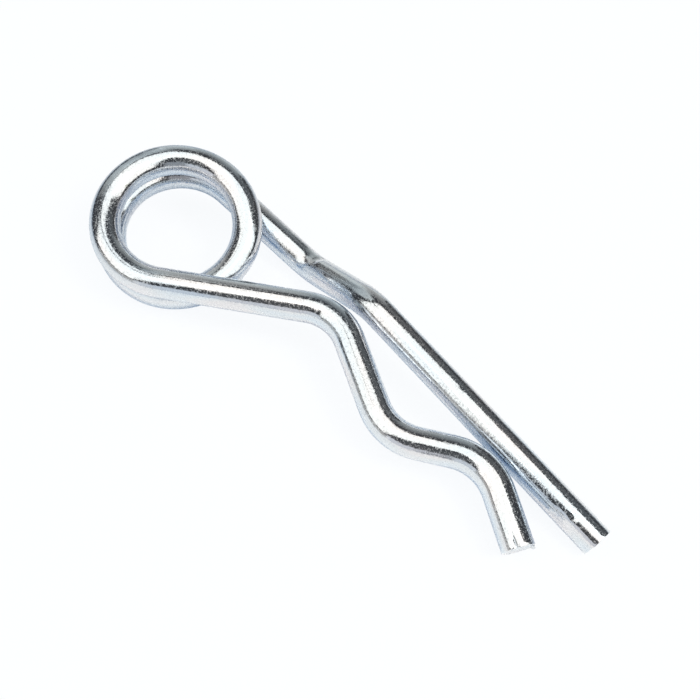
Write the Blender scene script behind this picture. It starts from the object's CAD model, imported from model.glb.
import math

import bpy
import numpy as np
from mathutils import Matrix, Vector


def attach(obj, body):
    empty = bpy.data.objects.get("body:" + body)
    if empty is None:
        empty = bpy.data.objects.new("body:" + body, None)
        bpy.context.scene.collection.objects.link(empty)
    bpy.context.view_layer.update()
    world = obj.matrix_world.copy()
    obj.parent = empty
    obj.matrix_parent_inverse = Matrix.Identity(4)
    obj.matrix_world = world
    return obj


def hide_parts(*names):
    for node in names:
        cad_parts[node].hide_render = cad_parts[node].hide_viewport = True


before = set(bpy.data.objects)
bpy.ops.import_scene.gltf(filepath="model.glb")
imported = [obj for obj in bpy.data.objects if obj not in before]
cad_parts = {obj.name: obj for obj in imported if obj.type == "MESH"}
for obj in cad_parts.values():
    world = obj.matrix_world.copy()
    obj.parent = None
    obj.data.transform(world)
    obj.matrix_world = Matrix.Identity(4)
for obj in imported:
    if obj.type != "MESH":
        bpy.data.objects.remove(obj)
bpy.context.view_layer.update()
print("frame loaded")


def linear(hexColour):
    # an sRGB hex colour as the linear numbers that Blender wants
    parts = [int(hexColour[i:i + 2], 16) / 255 for i in (1, 3, 5)]
    return tuple(c / 12.92 if c <= 0.04045 else ((c + 0.055) / 1.055) ** 2.4 for c in parts) + (1,)


def addNode(tree, kind, settings=None, links=None):
    # settings go to the node's own fields or to its sockets, links to its sockets
    node = tree.nodes.new(kind)
    for name, value in (settings or {}).items():
        if isinstance(name, str) and hasattr(node, name) and name not in node.inputs:
            setattr(node, name, value)
        else:
            node.inputs[name].default_value = value
    for name, source in (links or {}).items():
        tree.links.new(source, node.inputs[name])
    return node


def startFresh():
    if bpy.context.mode != "OBJECT":
        bpy.ops.object.mode_set(mode="OBJECT")
    bpy.ops.object.select_all(action="DESELECT")


def vertexPlaces(piece):
    places = np.empty(len(piece.data.vertices) * 3)
    piece.data.vertices.foreach_get("co", places)
    return places.reshape(-1, 3)


def selectPoints(piece, test):
    # selects the vertices that pass the test, and edit mode then adds the edges and faces between them
    bpy.ops.object.mode_set(mode="OBJECT")
    chosen = test(vertexPlaces(piece))
    for parts in (piece.data.edges, piece.data.polygons):
        parts.foreach_set("select", np.zeros(len(parts), bool))
    piece.data.vertices.foreach_set("select", chosen)
    bpy.ops.object.mode_set(mode="EDIT")
    bpy.ops.mesh.select_mode(type="VERT")
    return int(chosen.sum())


mm = 0.001

# the wire, its coil and where it lies
wire = {
    "diameter": 5 * mm,
    "radius": 2.49 * mm,  # the mesh is a hair thinner than the wire, so that it stays inside the frame's box
    "sides": 72,
    "ringSpacing": 0.55 * mm,
    "tipPlace": (48.1471 * mm, 11.2138 * mm, 2.4724 * mm),  # middle of the straight leg's end
    "inward": (-0.988947, 0, 0.148267),  # from that end towards the coil
    "firstPlane": 166.234,  # turn of the first bend's plane about the wire, from upright
    "eye": 18.1 * mm,
    "turnGap": 0.1 * mm,
    "coilAngle": 572,
    "coilArcs": 39,
}
# what a wire bender is told: feed in mm, turn of the wire, angle of the bend, radius in mm
straightLeg = [(46.9, 0, 34.5, 8.3), (13.3, 170, 43, 6), (17.2, -84.5, 0, 0)]
wavyLeg = [(24.3, 174.5, 60.5, 8.85), (11.5, 180, 57.5, 8.85), (5.3, 180, 61, 8.85), (8.5, 0, 0, 0)]

coilRadius = (wire["eye"] + wire["diameter"]) / 2
coilRise = (wire["diameter"] + wire["turnGap"]) / (2 * math.pi)
slant = math.hypot(coilRadius, coilRise)
arcAngle = wire["coilAngle"] / slant * coilRadius / wire["coilArcs"]
arcTurn = wire["coilAngle"] / slant * coilRise / wire["coilArcs"]
coil = [(0, arcTurn, arcAngle, slant ** 2 / coilRadius / mm)] * wire["coilArcs"]


def buildWire():
    # bends the wire from the straight leg's tip to the wavy leg's tip, and notes a frame at each of its rings
    startFresh()
    along = Vector(wire["inward"]).normalized()
    upright = (Vector((0, 0, 1)) - along.z * along).normalized()
    here = Matrix((upright, along.cross(upright), along)).transposed().to_4x4()
    here.translation = wire["tipPlace"]
    here = here @ Matrix.Rotation(math.radians(wire["firstPlane"]), 4, "Z")
    bpy.ops.mesh.primitive_circle_add(vertices=wire["sides"], radius=wire["radius"], fill_type="NOTHING")
    piece = bpy.context.object
    piece.name = "zinc_plated_r_clip"
    piece.data.transform(here)
    bpy.ops.object.mode_set(mode="EDIT")
    bpy.ops.mesh.select_all(action="SELECT")
    untwisted, drawn = 0, 0
    rings = [(0, here.copy())]  # length along the wire, and the wire's frame there without its turns
    for feed, turn, angle, radius in straightLeg + coil + wavyLeg:
        parts = max(1, round(feed * mm / wire["ringSpacing"])) if feed else 0
        for part in range(parts):
            stride = feed * mm / parts
            bpy.ops.mesh.extrude_region_move(TRANSFORM_OT_translate={"value": here.col[2].xyz * stride})
            here = here @ Matrix.Translation((0, 0, stride))
            drawn += stride
            rings.append((drawn, here @ Matrix.Rotation(-untwisted, 4, "Z")))
        here = here @ Matrix.Rotation(math.radians(turn), 4, "Z")
        untwisted += math.radians(turn)
        if angle:
            bend, reach = math.radians(angle), radius * mm
            parts = max(1, round(bend * reach / wire["ringSpacing"]))
            # spin turns the other way from a rotation matrix
            bpy.ops.mesh.spin(
                steps=parts, angle=-bend, center=here @ Vector((reach, 0, 0)), axis=here.col[1].xyz)
            for part in range(parts):
                here = (here @ Matrix.Translation((reach, 0, 0)) @ Matrix.Rotation(bend / parts, 4, "Y")
                        @ Matrix.Translation((-reach, 0, 0)))
                drawn += bend * reach / parts
                rings.append((drawn, here @ Matrix.Rotation(-untwisted, 4, "Z")))
    startFresh()
    ending = [round(v / mm, 3) for v in here.translation]
    print("wire bent:", len(rings), "rings,", round(drawn / mm, 1), "mm of wire, ends at", ending)
    return piece, rings


clip, rings = buildWire()


def drawnPlaces(places):
    # where each vertex was while the wire was still straight: two coordinates across it and one along it
    centres = np.array([tuple(place.translation) for length, place in rings])
    nearest = np.empty(len(places), int)
    batch = 2000  # vertices at a time, to keep the table of distances small
    for start in range(0, len(places), batch):
        apart = places[start:start + batch, None] - centres[None]
        nearest[start:start + batch] = (apart ** 2).sum(2).argmin(1)
    across = np.array([np.array(place.to_3x3()) for length, place in rings])[nearest]
    local = np.einsum("ij,ijk->ik", places - centres[nearest], across)
    local[:, 2] += np.array([length for length, place in rings])[nearest]
    return local


def facing(length, direction):
    # the angle round the wire, at that length along it, of what faces that way
    place = min(rings, key=lambda ring: abs(ring[0] - length))[1].to_3x3()
    local = place.transposed() @ Vector(direction)
    return math.atan2(local.y, local.x)


# the wire's two ends, cut off by a shear and tumbled
ends = {
    "rim": 0.09 * mm,  # rounding of the edge
    "rimParts": 2,
    "rings": 6,  # rings of faces on the cut
    "step": 0.1 * mm,  # from the blade's cut back to where the wire broke off
    "stepWidth": 0.9 * mm,
    "breakSide": (0.2, -0.6, -0.77),  # the side of the wire that broke off
    "flatness": 0.01 * mm,  # how near a vertex lies to the cut to count as on it
}


def closeEnd(piece, place, heading):
    # closes an open end with a rounded rim, and rings of faces to shape the cut with
    middle, out = np.array(place), np.array(heading)
    selectPoints(piece, lambda places: np.linalg.norm(places - middle, axis=1) < wire["radius"] * 1.02)
    bpy.ops.mesh.edge_face_add()
    bpy.ops.mesh.select_mode(type="FACE")
    bpy.ops.mesh.bevel(offset=ends["rim"], segments=ends["rimParts"], affect="EDGES")
    selectPoints(piece, lambda places: (abs((places - middle) @ out) < ends["flatness"]) & (
        np.linalg.norm(places - middle, axis=1) < wire["radius"] - 0.8 * ends["rim"]))
    bpy.ops.mesh.select_mode(type="FACE")
    for ring in range(ends["rings"]):
        bpy.ops.mesh.inset(thickness=(wire["radius"] - ends["rim"]) / (ends["rings"] + 1))
    bpy.ops.mesh.poke()


def breakOff(piece, place, heading):
    # the blade goes in from one side, and the rest of the wire breaks off a little behind its cut
    middle, out, side = np.array(place), np.array(heading), np.array(ends["breakSide"])
    selectPoints(piece, lambda places: (abs((places - middle) @ out) < 2 * ends["flatness"]) & (
        np.linalg.norm(places - middle, axis=1) < wire["radius"]) & (
        (places - middle) @ side > ends["stepWidth"]))
    bpy.ops.transform.translate(
        value=Vector(heading) * -ends["step"], use_proportional_edit=True,
        use_proportional_connected=True, proportional_edit_falloff="SPHERE",
        proportional_size=ends["stepWidth"])


def press(piece, length, direction, depth, long=0.0, wide=0.0, reach=1.0, falloff="SMOOTH", pull=None):
    # pushes a patch of the wire inwards, or the way that pull says, and what is within reach of it follows
    # all sizes in mm: the patch's place and length along the wire, and its width round it
    middle = facing(length * mm, direction)
    leastLong, leastWide = 0.3, 0.11  # half a patch that is a single vertex, either way
    skin = 0.9 * wire["radius"]  # leaves out the vertices inside a cut

    def onPatch(places):
        local = drawnPlaces(places)
        angle = (np.arctan2(local[:, 1], local[:, 0]) - middle + math.pi) % (2 * math.pi) - math.pi
        return (abs(local[:, 2] / mm - length) <= long / 2 + leastLong) & (
            abs(angle) * wire["radius"] / mm <= wide / 2 + leastWide) & (
            np.hypot(local[:, 0], local[:, 1]) > skin)

    found = selectPoints(piece, onPatch)
    way = -Vector(direction).normalized() if pull is None else Vector(pull).normalized()
    bpy.ops.transform.translate(
        value=way * depth * mm, use_proportional_edit=True, use_proportional_connected=True,
        proportional_edit_falloff=falloff, proportional_size=reach * mm)
    print("  pressed", found, "points at", length, "mm")


startFresh()
clip.select_set(True)
bpy.context.view_layer.objects.active = clip
tips = [
    (rings[0][1].translation, -rings[0][1].col[2].xyz),
    (rings[-1][1].translation, rings[-1][1].col[2].xyz),
]
for place, heading in tips:
    closeEnd(clip, place, heading)
    breakOff(clip, place, heading)

# what the tools have left on the wire, each at its length in mm from the straight tip
# the bending tool's corner, on the joggle
press(clip, 64.9, (-0.37, 0.15, 0.92), 0.24, wide=2.0, long=0.2, reach=0.9, falloff="SHARP")
press(clip, 50.1, (-0.235, -0.264, 0.936), 0.08, long=1.0, reach=0.6)
# nicks on the straight leg
press(clip, 29.6, (0.148, -0.075, 0.986), 0.07, wide=0.5, reach=0.5, falloff="SHARP")
press(clip, 4.8, (0.13, -0.482, 0.866), 0.1, wide=0.8, reach=0.5, falloff="SHARP")
# a nick on the wavy leg's first bend
press(clip, 230.1, (0.2, -0.62, 0.76), 0.09, wide=0.3, long=0.3, reach=0.6)
# the straight tip's near side is rolled flat: wide and shallow first, then narrower
for depth, wide, reach in ((0.05, 2.4, 0.7), (0.06, 1.5, 0.6), (0.06, 0.6, 0.5)):
    press(clip, 2.4, (0.05, -0.95, 0.30), depth, long=9, wide=wide, reach=reach)
# a scratch by the wavy tip, and a burr on its rim
press(clip, 278.8, (0.0, -0.42, 0.907), 0.28, long=1.6, reach=0.5, falloff="SHARP")
press(clip, 279.7, (0.42, 0.87, -0.1), 0.4, wide=0.5, reach=0.45, falloff="SHARP", pull=tips[1][1])

bpy.ops.object.mode_set(mode="EDIT")
bpy.ops.mesh.select_all(action="SELECT")
bpy.ops.mesh.normals_make_consistent(inside=False)
bpy.ops.mesh.select_all(action="DESELECT")
bpy.ops.object.mode_set(mode="OBJECT")
stored = clip.data.attributes.new("drawnWire", "FLOAT_VECTOR", "POINT")
stored.data.foreach_set("vector", drawnPlaces(vertexPlaces(clip)).astype(np.float32).ravel())
bpy.ops.object.shade_smooth_by_angle(angle=math.radians(35))
print("wire finished:", len(clip.data.polygons), "faces")

# Bright zinc electroplate with a clear blue passivate on drawn spring wire. The zinc mirrors its surroundings,
# its fine grain breaks the edges of what it mirrors, and the die has left lines along the wire.
plating = {
    # the passivate's film is bluer or pinker from place to place
    "film": ("#d5dfea", "#dae0e7", "#e0e0e5"),
    "filmSteps": (0.38, 0.5, 0.62),  # where on the noise each of those colours stands
    "filmSize": (2.5 * mm, 2.5 * mm, 14 * mm),
    "brightRoughness": 0.09,
    "dullRoughness": 0.35,
    "dullGrains": (0.5, 0.62),  # where on the noise the grain goes from bright to dull
    "grainSize": (0.3 * mm,) * 3,  # the real grain is about a tenth of this, too fine to show
    "grainHeight": 0.008 * mm,
    "lineSize": (0.22 * mm, 0.22 * mm, 9 * mm),  # the real lines are finer too
    "lineHeight": 0.006 * mm,
}


def brightZincPlate():
    material = bpy.data.materials.new("bright_zinc_plate_clear_passivated")
    material.use_nodes = True
    tree = material.node_tree
    tree.nodes.clear()
    along = addNode(tree, "ShaderNodeAttribute", {"attribute_name": "drawnWire"})

    def noise(size, settings):
        # noise whose blobs have that size across and along the wire
        place = addNode(
            tree, "ShaderNodeMapping", {"Scale": tuple(1 / side for side in size)},
            {"Vector": along.outputs["Vector"]})
        return addNode(tree, "ShaderNodeTexNoise", {"Scale": 1, **settings}, {"Vector": place.outputs[0]})

    grain = noise(plating["grainSize"], {"Detail": 2, "Roughness": 0.6})
    lines = noise(plating["lineSize"], {"Detail": 2, "Roughness": 0.5})
    film = noise(plating["filmSize"], {"Detail": 1})
    lined = addNode(
        tree, "ShaderNodeBump", {"Strength": 1, "Distance": plating["lineHeight"]},
        {"Height": lines.outputs["Fac"]})
    grained = addNode(
        tree, "ShaderNodeBump", {"Strength": 1, "Distance": plating["grainHeight"]},
        {"Height": grain.outputs["Fac"], "Normal": lined.outputs["Normal"]})
    dullness = addNode(
        tree, "ShaderNodeMapRange",
        {"From Min": plating["dullGrains"][0], "From Max": plating["dullGrains"][1],
         "To Min": plating["brightRoughness"], "To Max": plating["dullRoughness"]},
        {"Value": grain.outputs["Fac"]})
    tint = addNode(tree, "ShaderNodeValToRGB", links={"Fac": film.outputs["Fac"]})
    tint.color_ramp.elements.new(plating["filmSteps"][1])
    for step, colour, stop in zip(plating["filmSteps"], plating["film"], tint.color_ramp.elements):
        stop.position, stop.color = step, linear(colour)
    shader = addNode(
        tree, "ShaderNodeBsdfPrincipled", {"Metallic": 1},
        {"Base Color": tint.outputs["Color"], "Roughness": dullness.outputs["Result"],
         "Normal": grained.outputs["Normal"]})
    addNode(tree, "ShaderNodeOutputMaterial", links={"Surface": shader.outputs["BSDF"]})
    return material


clip.data.materials.append(brightZincPlate())
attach(clip, "root")
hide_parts("clip_wire")
print("zinc plated")

# the table, the room and the camera
studio = {
    "aim": (2.43 * mm, 4.12 * mm, 7.0 * mm),
    "tableSize": 2.4,
    # the sheet on the table as the metal mirrors it, lit less behind the clip
    "sheet": "#fff9f2",
    "sheetFar": "#b6b2ad",
    "sheetMiddle": (30 * mm, -40 * mm, 0),
    "sheetLit": (70 * mm, 170 * mm),  # how far from there the light starts and stops fading
    "sheetGlowColour": "#6cbcff",
    "sheetGlow": 0.2,
    # and as the camera sees it, lit through, so that its shadows are faint
    "seenSheet": "#4c4d4f",
    "seenGlowColour": "#fbfdff",
    "seenGlow": 0.94,
    "sheetRoughness": 0.8,
    "room": "#434446",
    "beyond": "#fdfdfe",  # what the camera sees past the table's edge
    "cameraDistance": 146.26 * mm,
    "cameraHeight": 53.52,  # degrees above the table
    "cameraSide": 40.04,  # degrees round from facing along Y
    "cameraRoll": 8.87,
    "lens": 48.41,
}
whiteLight, dimLight, coolLight, yellowLight, warmLight = "#fffcf3", "#f8fdf8", "#f7fbff", "#fdfbdc", "#fffbe6"
# name, degrees round from Y towards X, degrees up, distance in m, degrees wide and high, glow, colour
softboxes = [
    ("overhead", 140, 85, 1.2, 44, 44, 1.36, whiteLight),
    ("right_far", 49, 44, 1.0, 16, 56, 1.36, whiteLight),
    ("right_seam", 60, 44, 1.0, 6, 56, 0.4, yellowLight),
    ("right_near", 85, 44, 1.0, 44, 56, 1.36, whiteLight),
    ("near_left", 205, 43, 1.0, 43, 50, 1.36, whiteLight),
    ("low_front", 163, 10, 1.0, 34, 26, 0.72, coolLight),
    ("low_right", 132, 12, 1.0, 26, 34, 0.28, coolLight),
    ("low_left", 200, 6, 1.0, 44, 14, 0.45, whiteLight),
    ("horizon", 350, 3, 1.0, 60, 9, 0.22, dimLight),
    ("behind", 352, 44, 1.0, 40, 30, 0.06, dimLight),
    ("back_left", 300, 22, 1.0, 22, 44, 0.18, dimLight),
    ("camera_side", 150, 40, 1.0, 24, 26, 0.04, dimLight),
]
# the back and the far left are screens that fade, made of strips
for part, glow in enumerate((0.5, 0.46, 0.41, 0.33, 0.24, 0.16, 0.1)):
    softboxes.append((f"back_{part}", 318, 3 + 7 * part, 1.0, 44, 7, glow, dimLight))
for part, glow in enumerate((0.22, 0.42, 0.52, 0.52, 0.42, 0.34, 0.24)):
    softboxes.append((f"far_left_{part}", 258 + 6 * part, 36, 1.0, 5, 46, glow, dimLight))
# lights the sheet from behind on the right, and is masked from the metal
sheetLamp = ("sheet_lamp", 70, 55, 1.2, 16, 16, 10.4, warmLight)


def addSoftbox(name, side, height, distance, wide, high, glow, colour):
    # a panel as bright as the glow says, which the camera doesn't see
    width, tall = (2 * distance * math.tan(math.radians(size) / 2) for size in (wide, high))
    light = bpy.data.lights.new(name, "AREA")
    light.shape, light.size, light.size_y = "RECTANGLE", width, tall
    light.energy = glow * math.pi * width * tall
    light.color = linear(colour)[:3]
    box = bpy.data.objects.new(name, light)
    bpy.context.collection.objects.link(box)
    turned, tilted = math.radians(side), math.radians(height)
    away = Vector((math.sin(turned) * math.cos(tilted), math.cos(turned) * math.cos(tilted), math.sin(tilted)))
    box.location = Vector(studio["aim"]) + away * distance
    box.rotation_euler = away.to_track_quat("Z", "Y").to_euler()
    box.visible_camera = False
    return box


def addTable():
    startFresh()
    bpy.ops.mesh.primitive_plane_add(size=studio["tableSize"])
    table = bpy.context.object
    table.name = "table"
    # opal acrylic, lit from above and through: matt, even and nearly white
    material = bpy.data.materials.new("opal_acrylic_sheet")
    material.use_nodes = True
    tree = material.node_tree
    tree.nodes.clear()
    place = addNode(tree, "ShaderNodeTexCoord")
    fromMiddle = addNode(
        tree, "ShaderNodeVectorMath", {"operation": "DISTANCE", 1: studio["sheetMiddle"]},
        {0: place.outputs["Object"]})
    fade = addNode(
        tree, "ShaderNodeMapRange", {"From Min": studio["sheetLit"][0], "From Max": studio["sheetLit"][1]},
        {"Value": fromMiddle.outputs["Value"]})
    white = addNode(
        tree, "ShaderNodeMix",
        {"data_type": "RGBA", 6: linear(studio["sheet"]), 7: linear(studio["sheetFar"])},
        {0: fade.outputs["Result"]})
    sheet = addNode(
        tree, "ShaderNodeBsdfPrincipled",
        {"Roughness": studio["sheetRoughness"], "Specular IOR Level": 0,
         "Emission Color": linear(studio["sheetGlowColour"]), "Emission Strength": studio["sheetGlow"]},
        {"Base Color": white.outputs[2]})
    seenSheet = addNode(
        tree, "ShaderNodeBsdfPrincipled",
        {"Base Color": linear(studio["seenSheet"]), "Roughness": studio["sheetRoughness"],
         "Specular IOR Level": 0.2, "Emission Color": linear(studio["seenGlowColour"]),
         "Emission Strength": studio["seenGlow"]})
    seen = addNode(tree, "ShaderNodeLightPath")
    either = addNode(
        tree, "ShaderNodeMixShader",
        links={0: seen.outputs["Is Camera Ray"], 1: sheet.outputs["BSDF"], 2: seenSheet.outputs["BSDF"]})
    addNode(tree, "ShaderNodeOutputMaterial", links={"Surface": either.outputs[0]})
    table.data.materials.append(material)


def addRoom():
    # dim round the clip, and white behind it for the camera
    world = bpy.data.worlds.new("room")
    world.use_nodes = True
    tree = world.node_tree
    tree.nodes.clear()
    room = addNode(tree, "ShaderNodeBackground", {"Color": linear(studio["room"])})
    beyond = addNode(tree, "ShaderNodeBackground", {"Color": linear(studio["beyond"])})
    seen = addNode(tree, "ShaderNodeLightPath")
    either = addNode(
        tree, "ShaderNodeMixShader",
        links={0: seen.outputs["Is Camera Ray"], 1: room.outputs[0], 2: beyond.outputs[0]})
    addNode(tree, "ShaderNodeOutputWorld", links={"Surface": either.outputs[0]})
    bpy.context.scene.world = world


def addCamera():
    lens = bpy.data.cameras.new("camera")
    lens.sensor_width, lens.lens = 36, studio["lens"]
    lens.clip_start, lens.clip_end = 0.01, 20
    camera = bpy.data.objects.new("camera", lens)
    bpy.context.collection.objects.link(camera)
    turn = (Matrix.Rotation(math.radians(studio["cameraSide"]), 3, "Z")
            @ Matrix.Rotation(math.radians(90 - studio["cameraHeight"]), 3, "X")
            @ Matrix.Rotation(math.radians(studio["cameraRoll"]), 3, "Z"))
    camera.rotation_euler = turn.to_euler()
    camera.location = Vector(studio["aim"]) + turn @ Vector((0, 0, studio["cameraDistance"]))
    bpy.context.scene.camera = camera


addTable()
for box in softboxes:
    addSoftbox(*box)
addSoftbox(*sheetLamp).visible_glossy = False
addCamera()
addRoom()
bpy.context.scene.view_settings.view_transform = "Standard"
print("studio lit")
